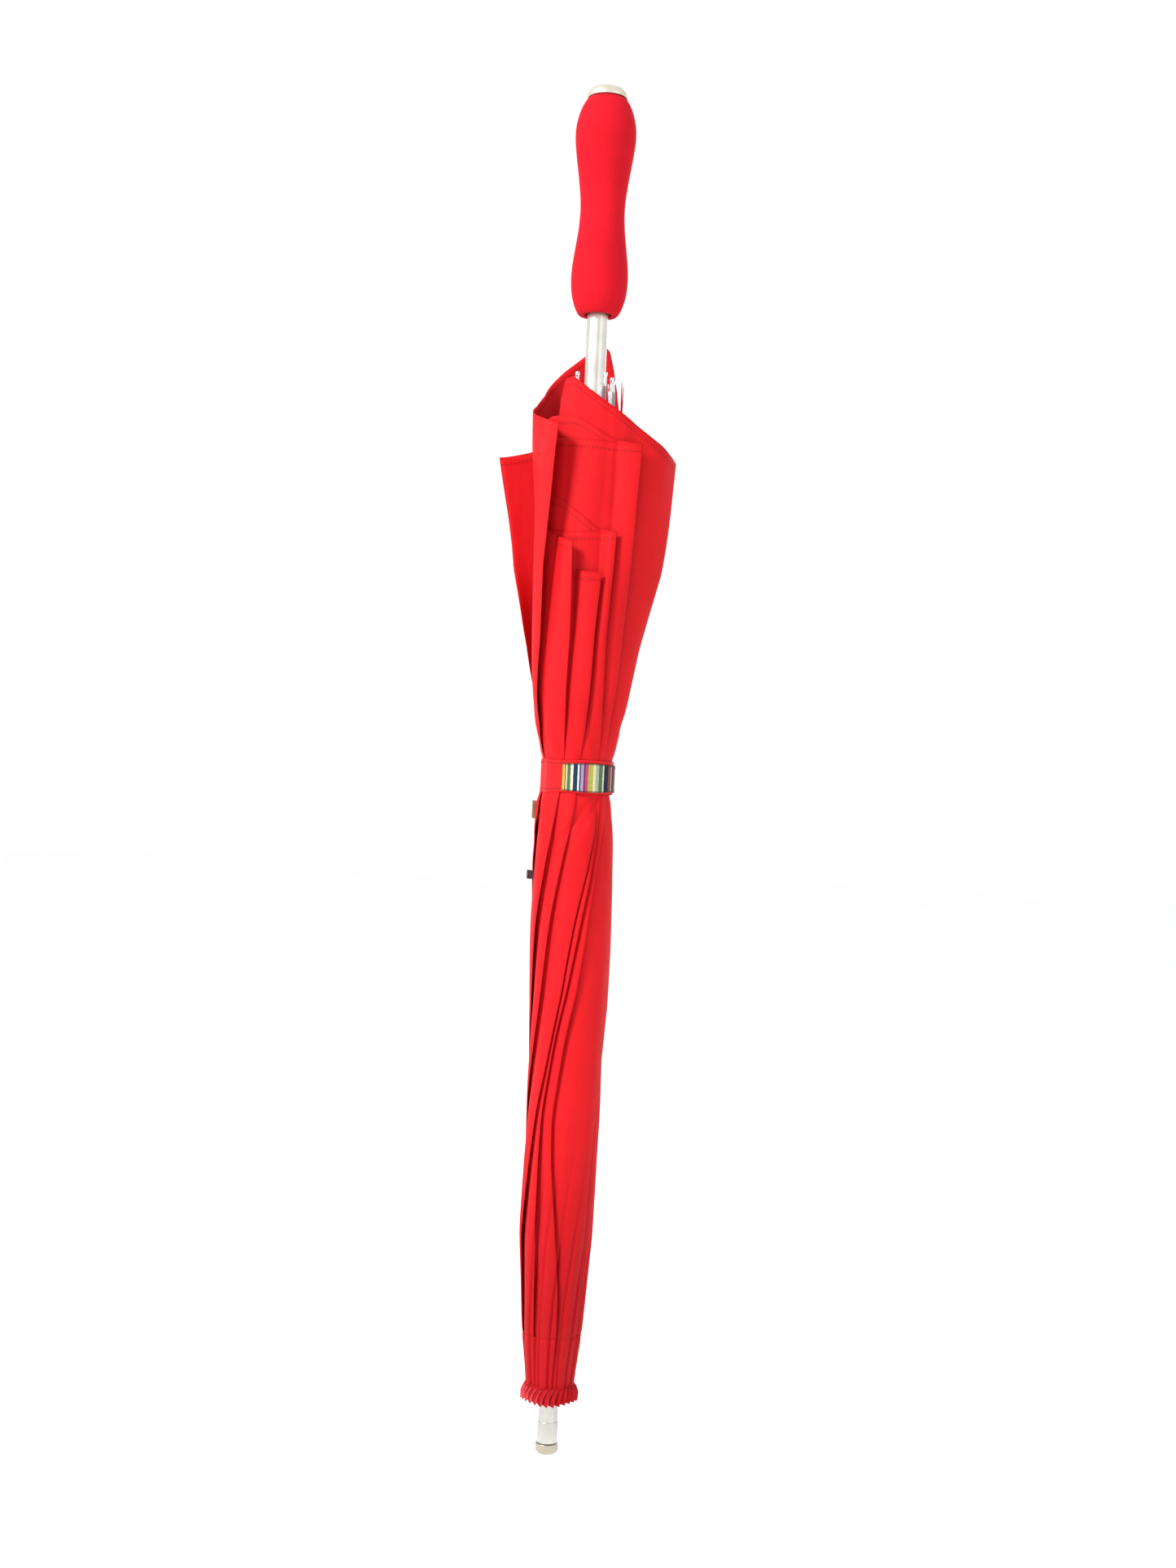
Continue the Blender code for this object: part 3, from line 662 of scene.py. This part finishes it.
def ply(flap, share, start_side, way):
    """One ply of a flap: a grid of side angles, heights, radii and depths below the hem, from seam
    to fold. The way is 1 for the outer ply and -1 for the hidden one."""
    rows = np.linspace(0, 1, ROWS)[:, None]
    at_hem = start_side + (FLAPS[flap]["fold"][0] - start_side) * share
    hem = hem_height(flap, at_hem, start_side, FLAPS[flap]["rise"] * (way < 0))[None, :]
    heights = GORE_BOTTOM + (hem - GORE_BOTTOM) * rows
    fold = fold_side(flap, heights, True)
    side = start_side + (fold - start_side) * share[None, :]
    radius = wrapped_radius(flap, side, heights, True)
    gap = np.minimum(0.3, 0.02 * (outer_radius(side, heights) - inner_radius(heights)) + 0.12)
    radius = radius + way * gap * smooth((1 - share[None, :]) / 0.01)
    if way < 0:
        near_seam = 1 - smooth((side - start_side) / SEAM_JOIN)
        next_seam = wrapped_radius(flap + 1, np.full_like(side, start_side), heights, True)
        radius = radius * (1 - near_seam) + next_seam * near_seam
    tucked = 1 - smooth((heights - CROWN_TOP + TUCK_LENGTH) / TUCK_LENGTH)
    radius = radius - TUCK_SHARE * tucked * np.maximum(radius - inner_radius(heights), 0)
    rib = flap + FIRST_FLAP_RIB + (way < 0)
    radius = radius - rib_bend(rib, heights) * (1 - smooth((side - start_side) / BEND_REACH))
    return side, heights, radius, hem - heights


def gore_weights(points, run, gore):
    """How far round each point turns from its gore's first rib to its second as the canopy opens,
    so that the opened cloth is spread evenly between them."""
    wanted = (run / run[:, -1:]).ravel()
    rib, panel = JOINTS[f"rib_hinge_{gore}"], JOINTS[f"panel_fold_{gore}"]

    def turn(joint, places, angles):
        pivot = np.array(joint["pos_m"], float)
        axis = np.array(joint["axis"], float)
        axis /= np.linalg.norm(axis)
        offset = places - pivot
        cosine, sine = np.cos(angles)[:, None], np.sin(angles)[:, None]
        along = np.outer(offset @ axis, axis)
        return pivot + offset * cosine + np.cross(axis, offset) * sine + along * (1 - cosine)

    rib_angle = math.radians(rib["range_deg"][1])
    panel_angle = math.radians(panel["range_deg"][1])
    start = math.atan2(rib["pos_m"][1], rib["pos_m"][0])
    low, high = np.zeros(len(points)), np.ones(len(points))
    for _ in range(HALVINGS):
        middle = (low + high) / 2
        opened = turn(rib, turn(panel, points, middle * panel_angle), np.full(len(points), rib_angle))
        azimuth = np.arctan2(opened[:, 1], opened[:, 0]) - start
        azimuth = (azimuth + math.pi) % math.tau - math.pi
        short = azimuth < wanted * math.tau / RIBS
        low, high = np.where(short, middle, low), np.where(short, high, middle)
    return ((low + high) / 2).reshape(run.shape)


def smoothed_weights(weights):
    """Weights eased along and across the cloth, with both seams held on their ribs."""
    for _ in range(SMOOTHINGS):
        padded = np.pad(weights, 1, mode="edge")
        beside = padded[:-2, 1:-1] + padded[2:, 1:-1] + padded[1:-1, :-2] + padded[1:-1, 2:]
        weights = (beside + 2 * weights) / 6
        weights[:, 0] = 0
        weights[:, -1] = 1
    return weights


def make_gore(flap, cloth):
    """One gore: a single sheet from one rib's seam, out to its fold and back to the next rib's seam."""
    gore = (flap + FIRST_FLAP_RIB) % RIBS
    seam = FIRST_SEAM_SIDE + STEP * flap
    outward, back = np.linspace(0, 1, OUTER_COLUMNS), np.linspace(1, 0, INNER_COLUMNS)
    # Columns lie closer together at the seams and at the fold.
    outward = 0.8 * smooth(outward) + 0.2 * outward
    back = 0.8 * smooth(back) + 0.2 * back
    first = ply(flap, outward, seam, 1)
    second = ply(flap, back[1:], seam + STEP, -1)
    side, heights, radius, below = (np.concatenate(pair, axis=1) for pair in zip(first, second))
    points = side_point(radius, side, heights).reshape(-1, 3)
    rows, columns = side.shape
    run = run_across(points.reshape(rows, columns, 3))
    uvs = np.stack([run.ravel(), below.ravel() * MM], -1)
    obj = new_object(f"canopy_gore_{gore}", points, grid_faces(rows, columns), cloth, uvs)
    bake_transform(obj)
    weights = smoothed_weights(gore_weights(points, run, gore))
    solid(obj, CLOTH)
    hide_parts(f"canopy_panel_{gore}")
    return obj


def make_canopy():
    """The eight gores, each made as one sheet."""
    cloth = canopy_cloth()
    for flap in range(RIBS):
        obj = make_gore(flap, cloth)


def make_crown(cloth):
    """One pleated piece over the gores' narrow ends."""
    rows, columns = 24, 44
    heights = np.linspace(CANOPY_BOTTOM, CROWN_TOP, rows)[:, None]
    share = np.linspace(0.002, 0.998, columns)[None, :]
    strips = []
    for flap in range(RIBS):
        low, high = fold_side(flap - 1, heights), fold_side(flap, heights)
        side = low + (high - low) * share
        lift = CROWN_LIFT * (1 - smooth((heights - CROWN_TOP + CROWN_RIM) / CROWN_RIM))
        radius = wrapped_radius(flap, side, heights) + lift
        strips.append(side_point(radius, side, heights))
    ring = np.concatenate(strips, axis=1)
    around = ring.shape[1]
    uvs = [(k / around * 0.12, row / rows * CROWN_TOP * MM) for row in range(rows) for k in range(around)]
    crown = new_object("canopy_crown", ring.reshape(-1, 3), grid_faces(rows, around, wrap=True), cloth, uvs)
    solid(crown, CLOTH)
    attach(crown, "root")
    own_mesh(crown)


def make_rosette():
    """A collar of cut cloth round the ferrule, pressed into slanting pleats like saw teeth."""
    fine, rows = 10, 18
    columns = PLEATS * fine
    columns_at = np.arange(columns)
    tooth = (columns_at % fine) / fine
    angle = columns_at / columns * 360
    saw = np.where(tooth < 0.8, tooth / 0.8, (1 - tooth) / 0.2)
    points, uvs = [], []
    for row in range(rows):
        t = row / (rows - 1)
        base = np.interp(t, (0, 0.25, 0.5, 0.75, 1), (12.6, 14.6, 17.4, 18.8, 18.5))
        height = np.interp(t, (0, 0.25, 0.5, 0.75, 1), (50, 48.6, 47, 43, 38))
        depth = 0.1 + 1.7 * smooth((t - 0.2) / 0.6)
        radius = base + depth * (saw - 0.6) + 0.3 * np.sin(np.radians(angle) * 5)
        slant = -13 * smooth((t - 0.2) / 0.8)
        lift = 1.4 * t * saw + 0.6 * t * np.sin(np.radians(angle) * 3 + 1)
        points.append(side_point(radius, angle + slant, height - lift))
        uvs += [(k / columns, t) for k in columns_at]
    cloth = rosette_cloth()
    faces = grid_faces(rows, columns, wrap=True)
    frill = new_object("rosette_frill", np.concatenate(points), faces, cloth, uvs)
    solid(frill, 0.35)
    inner = [(7.3, 37), (13.5, 38.2), (16.2, 40), (16.4, 42), (13.4, 46.5), (7.3, 47.8)]
    under = turned("rosette_gathers", inner, cloth)
    for vertex in under.data.vertices:
        azimuth = math.atan2(vertex.co.y, vertex.co.x)
        share = min(1, math.hypot(vertex.co.x, vertex.co.y) / MM / 15)
        vertex.co.z += 0.7 * MM * share * math.sin(azimuth * PLEATS)
    for obj in (frill, under):
        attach(obj, "root")
    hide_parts("rosette")


# Each loose thread: side, height, length in degrees and reach outwards.
THREADS = (
    (-62, 36.6, 16, 2.4), (-48, 36.0, 20, 1.4), (-34, 35.6, 15, 1.0),
    (-52, 35.3, 26, 0.6), (-24, 35.4, 12, 0.4),
)


def make_threads():
    """Frayed pale threads along the rosette's cut edge."""
    pale = tape("loose_thread", (226, 214, 210), (244, 236, 232))
    for index, (side, height, length, reach) in enumerate(THREADS):
        curve = bpy.data.curves.new(f"thread_{index}", "CURVE")
        curve.dimensions = "3D"
        curve.bevel_depth = 0.2 * MM
        curve.bevel_resolution = 2
        curve.use_fill_caps = True
        line = curve.splines.new("NURBS")
        line.points.add(4)
        for k in range(5):
            t = k / 4
            place = side_point(18.4 + reach * t, side - length * t, height - 0.7 * math.sin(4 * t + index))
            line.points[k].co = (*place, 1)
        line.use_endpoint_u = True
        line.order_u = 4
        obj = bpy.data.objects.new(f"rosette_thread_{index}", curve)
        bpy.context.scene.collection.objects.link(obj)
        curve.materials.append(pale)
        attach(obj, "root")


def make_ferrule():
    """The ferrule tube and the tip cap; outlines are (radius, height, corner radius)."""
    bright = metal("ferrule_aluminium", (176, 176, 170), (204, 204, 198), 0.3)
    beige = metal("tip_nickel", (150, 144, 128), (186, 180, 162), 0.36, grain=(1, 1, 8))
    outline = rounded((
        (5.8, 7.4, 0), (6.9, 7.4, 0.3), (6.9, 21.3, 0.25), (6.6, 21.9, 0.25), (6.6, 48, 0), (5.8, 48, 0),
    ))
    tube = turned("ferrule_tube", outline, bright)
    outline = rounded((
        (0.02, 0, 0), (5.9, 0, 0.6), (7.7, 1.9, 0.9), (7.7, 6.9, 0.5),
        (5.4, 7.2, 0), (5.4, 12, 0), (0.02, 12, 0),
    ))
    tip = turned("tip_ferrule_cap", outline, beige)
    for obj, node, slot in ((tube, "ferrule_sleeve", "shaft_metal"), (tip, "tip_cap", "tip_metal")):
        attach(obj, "root")
        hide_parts(node)


# The grip's outline: height and radius.
GRIP = (
    (768, 12.6), (769.2, 14.0), (773, 16.0), (778, 17.6), (784, 18.8), (792, 19.3), (801, 18.9),
    (813, 17.3), (826, 15.6), (838, 14.9), (847, 15.3), (860, 16.9), (875, 19.2), (885, 20.4), (890, 20.6),
    (896, 20.2), (903, 18.6), (909, 16.4), (913, 13.9), (914, 12.6),
)


def make_handle():
    """The shaped foam grip, its outline drawn as one smooth curve, and the pearl cap on its end."""
    body = np.array(GRIP, float)
    along = np.concatenate([[0], np.cumsum(np.hypot(*np.diff(body, axis=0).T))])
    fine = np.linspace(0, along[-1], 90)
    radii, heights = np.interp(fine, along, body[:, 1]), np.interp(fine, along, body[:, 0])
    window = np.hanning(7) / np.hanning(7).sum()
    for values in (radii, heights):
        values[3:-3] = np.convolve(values, window, mode="valid")
    bore = 9.4
    outline = [(bore, 768.3), *zip(radii, heights), (bore, 913.8)]
    grip = turned("grip_foam", outline, foam(), segments=128)
    pearl = metal("pearl_cap_metal", (196, 188, 172), (226, 220, 204), 0.3, grain=(1, 1, 6), metallic=0.75)
    outline = rounded((
        (0.02, 906, 0), (9, 906, 0), (9, 914.4, 0), (13.7, 914.4, 0.6), (13.7, 917.4, 1.2),
        (11.6, 920.4, 1.2), (5, 922, 1.0), (0.02, 922, 0),
    ))
    cap = turned("end_cap_pearl", outline, pearl)
    for obj, node, slot in ((grip, "handle_grip", "grip_foam"), (cap, "handle_end_cap", "cap_metal")):
        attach(obj, "root")
        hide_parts(node)


def strap_arc(name, start, span, low, high, lift, finish, thickness, segments=90):
    """A band of cloth round the bundle, with slightly wavy edges and stitched turnings."""
    rows = 12
    share = np.linspace(0, 1, segments)
    side = start + span * share
    points, uvs = [], []
    for row in range(rows):
        t = row / (rows - 1)
        height = low + (high - low) * t + 0.35 * np.sin(np.radians(side) * 4) * (2 * t - 1)
        waves = 0.28 * np.sin(np.radians(side) * 7 + 1), 0.2 * np.sin(np.radians(side) * 12)
        middle = STRAP_RADIUS + lift + waves[0] + waves[1]
        turning = 0.3 * (abs(2 * t - 1) > 0.78)
        points.append(side_point(middle + turning - 0.3 * (2 * t - 1) ** 4, side, height))
        depth = min(t, 1 - t) * (high - low) * MM
        uvs += [(math.radians(span) * s * (STRAP_RADIUS + lift) * MM, depth) for s in share]
    obj = new_object(name, np.concatenate(points), grid_faces(rows, segments), finish, uvs)
    return solid(obj, thickness)


def strap_cloth():
    """Red woven cloth like the canopy's, with dark stitches along both edges."""
    nodes = Nodes("strap_cloth", roughness=0.6, sheen=0.04)
    nodes.shader.inputs["Specular IOR Level"].default_value = 0.12
    patches = nodes.noise(nodes.object_place(), 60, 3)
    hem, stitches = hem_marks(nodes, 0.0028, 0.0024, 0.0005)
    base = nodes.blotches(patches, (196, 16, 23), (208, 21, 28))
    nodes.colour(nodes.mix(nodes.math("MULTIPLY", stitches, 0.85), base, srgb(90, 4, 12)))
    nodes.roughness(patches, 0.45, 0.62)
    nodes.bump(nodes.noise(nodes.object_place(), 180, 3), 0.0005, 0.4)
    nodes.bump(weave(nodes, 0.0007), 0.00006, 0.6)
    nodes.bump(hem, 0.0003, 0.8)
    nodes.bump(stitches, -0.0004, 0.8)
    return nodes.material


def make_strap():
    """The band round the bundle, the hook patch on it and the striped tab over both."""
    band_start, band_span = -200, 352
    patch_start, patch_span, patch_inset = 60, 28, 3
    cloth = strap_cloth()
    band = strap_arc(
        "strap_band_cloth", band_start, band_span, STRAP_LOW, STRAP_HIGH, 0.0, cloth, 0.5, segments=240,
    )
    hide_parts("strap_band")
    loops = tape("hook_tape_loops", (90, 8, 18), (120, 14, 26))
    low, high = STRAP_LOW + patch_inset, STRAP_HIGH - patch_inset
    patch = strap_arc("strap_hook_patch", patch_start, patch_span, low, high, 0.55, loops, 0.3)
    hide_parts("hook_patch")
    # Radii of the band and the tab pressed flat, from which a point, an outward direction and a point beyond
    # are worked out.
    band_press, tab_press = 26, 27.4
    anchor = side_point(band_press, TAB_START_SIDE, STRAP_MID)
    outward = side_point(1, TAB_START_SIDE, 0) - side_point(0, 0, 0)
    outward = tuple(outward / np.linalg.norm(outward))
    for obj in (band, patch):
        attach(obj, "rib_5")
        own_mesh(obj)
    tab = strap_arc(
        "strap_tab_stripes", TAB_START_SIDE, TAB_SPAN, TAB_LOW, TAB_HIGH, 1.05, striped_cloth(), 0.7,
    )
    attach(tab, "strap_tab")
    beyond = side_point(tab_press, TAB_START_SIDE, STRAP_MID)
    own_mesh(tab)
    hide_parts("strap_tab")


def make_labels():
    """Two small sewn labels that stand out of a seam on the left side."""
    inward, wave = 0.0024, 0.0004
    for node, slot, dark, light in (
        ("care_label", "tan_label", (120, 84, 54), (150, 110, 74)),
        ("small_label", "dark_label", (44, 12, 18), (66, 22, 28)),
    ):
        low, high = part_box(node)
        rows, columns = 10, 8
        points, uvs = [], []
        for row in range(rows):
            for column in range(columns):
                s, t = column / (columns - 1), row / (rows - 1)
                x = high.x + inward + (low.x - high.x - inward) * s
                y = wave * math.sin(3 * s + 2 * t)
                points.append((x, y, low.z + (high.z - low.z) * t + wave * s))
                uvs.append((s * 0.006, t * 0.011))
        finish = tape(f"{node}_tape", dark, light, 0.0005)
        obj = new_object(f"{node}_cloth", points, grid_faces(rows, columns), finish, uvs)
        solid(obj, 0.35)
        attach(obj, "panel_3")
        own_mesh(obj)
        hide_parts(node)


def make_ribs():
    """Ribs that lean in towards the shaft above the strap, where the rolled cloth presses on them."""
    steel = bpy.data.materials["rib_steel"]
    cut_spacing = 12
    for rib in RIB_BENDS:
        node = frame["nodes"][f"rib_{rib}"]
        work = bmesh.new()
        work.from_mesh(node.data)
        work.transform(node.matrix_world)
        for height in np.arange(STRAP_HIGH, RIB_END_HEIGHT, cut_spacing):
            geometry = work.verts[:] + work.edges[:] + work.faces[:]
            place = (0, 0, TIP + height * MM)
            bmesh.ops.bisect_plane(work, geom=geometry, plane_co=place, plane_no=(0, 0, 1))
        inward = Vector(side_point(0, 0, 0) - side_point(1, FIRST_RIB_SIDE + STEP * rib, 0))
        for vertex in work.verts:
            vertex.co += inward * float(rib_bend(rib, (vertex.co.z - TIP) / MM))
        mesh = bpy.data.meshes.new(f"sprung_rib_{rib}")
        work.to_mesh(mesh)
        work.free()
        mesh.materials.clear()
        mesh.materials.append(steel)
        obj = bpy.data.objects.new(mesh.name, mesh)
        bpy.context.scene.collection.objects.link(obj)
        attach(obj, f"rib_{rib}")
        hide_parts(node.name)


def make_rib_tips():
    """Polished caps on the rib ends, with a little ball at the very end."""
    bright = metal("rib_tip_polish", (196, 196, 198), (226, 226, 228), 0.18)
    outline = rounded((
        (0.02, -3, 0), (1.25, -3, 0), (1.4, 2, 0.3), (1.05, 5.6, 0.4), (1.75, 7.4, 0.8),
        (1.2, 9.2, 0.5), (0.02, 9.4, 0),
    ))
    for rib in range(RIBS):
        tip = turned(f"rib_tip_cap_{rib}", outline, bright, segments=20)
        side = FIRST_RIB_SIDE + STEP * rib
        azimuth = math.radians(side + 270)
        place = Vector(side_point(RIB_END_RADIUS - rib_bend(rib, RIB_END_HEIGHT), side, RIB_END_HEIGHT))
        tilt = Matrix.Rotation(azimuth, 4, "Z") @ Matrix.Rotation(math.atan(RIB_SLOPE), 4, "Y")
        tip.data.transform(Matrix.Translation(place) @ tilt @ Matrix.Translation((0, 0, -TIP)))
        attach(tip, f"rib_{rib}")
        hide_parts(f"rib_tip_{rib}")


def finish_frame():
    """Materials for the CAD pieces that show as they are."""
    shaft = metal("shaft_aluminium", (206, 204, 198), (226, 224, 218), 0.34)
    steel = metal("rib_steel", (120, 122, 126), (158, 160, 164), 0.34)
    spring = metal("catch_spring_steel", (140, 142, 146), (176, 178, 182), 0.3)
    nylon = moulded("black_nylon", (16, 16, 18), (30, 30, 33))
    core = moulded("core_plastic", (14, 14, 14), (26, 26, 26), 0.5)
    nickel = metal("plug_metal", (150, 144, 128), (186, 180, 162), 0.36)
    chosen = {
        "shaft_tube": shaft, "ferrule_plug": nickel, "handle_core": core, "crown_washer": steel,
        "top_notch": nylon, "runner": nylon, "notch_wire": steel, "bottom_catch": spring, "top_catch": spring,
    }
    for rib in range(RIBS):
        chosen[f"rib_{rib}"] = steel
        chosen[f"stretcher_{rib}"] = steel
    for node, finish in chosen.items():
        obj = frame["nodes"][node]
        obj.data.materials.clear()
        obj.data.materials.append(finish)


def make_stage():
    """A pale floor, a white world and three lamps."""
    floor_height, half = TIP - 0.02, 9
    corners = [(x, y, floor_height) for x, y in ((-half, -half), (half, -half), (half, half), (-half, half))]
    floor = new_object("studio_floor", corners, [(0, 1, 2, 3)], ground())
    world = bpy.data.worlds.new("studio")
    bpy.context.scene.world = world
    world.use_nodes = True
    background = world.node_tree.nodes["Background"]
    background.inputs["Color"].default_value = (1, 1, 1, 1)
    background.inputs["Strength"].default_value = 1.0
    middle = Vector((0, 0, TIP + 0.46))
    for name, place, size, power in (
        ("key", (-1.7, -1.5, 1.5), 0.7, 76),
        ("fill", (2.0, -1.6, 0.4), 1.8, 6),
        ("rim", (0.6, 2.0, 1.2), 1.4, 10),
    ):
        light = bpy.data.lights.new(name, "AREA")
        light.shape = "DISK"
        light.size = size
        light.energy = power
        lamp = bpy.data.objects.new(name, light)
        bpy.context.scene.collection.objects.link(lamp)
        lamp.location = middle + Vector(place)
        lamp.rotation_euler = (middle - lamp.location).to_track_quat("-Z", "Y").to_euler()


def make_camera():
    """Level with the middle of the umbrella, 1.3 metres in front, rolled so that it leans right."""
    place = (0.0077, -1.3, TIP + 0.452)
    roll_angle = math.radians(2.6)
    camera = bpy.data.cameras.new("camera")
    camera.lens = 44.2
    obj = bpy.data.objects.new("camera", camera)
    bpy.context.scene.collection.objects.link(obj)
    roll = Matrix.Rotation(math.radians(90), 4, "X") @ Matrix.Rotation(roll_angle, 4, "Z")
    obj.matrix_world = Matrix.Translation(place) @ roll
    bpy.context.scene.camera = obj
    bpy.context.scene.view_settings.view_transform = "Standard"


make_camera()
make_stage()
finish_frame()
make_handle()
make_ferrule()
make_rosette()
make_threads()
make_strap()
make_canopy()
make_crown(bpy.data.materials["canopy_cloth"])
make_ribs()
make_labels()
make_rib_tips()
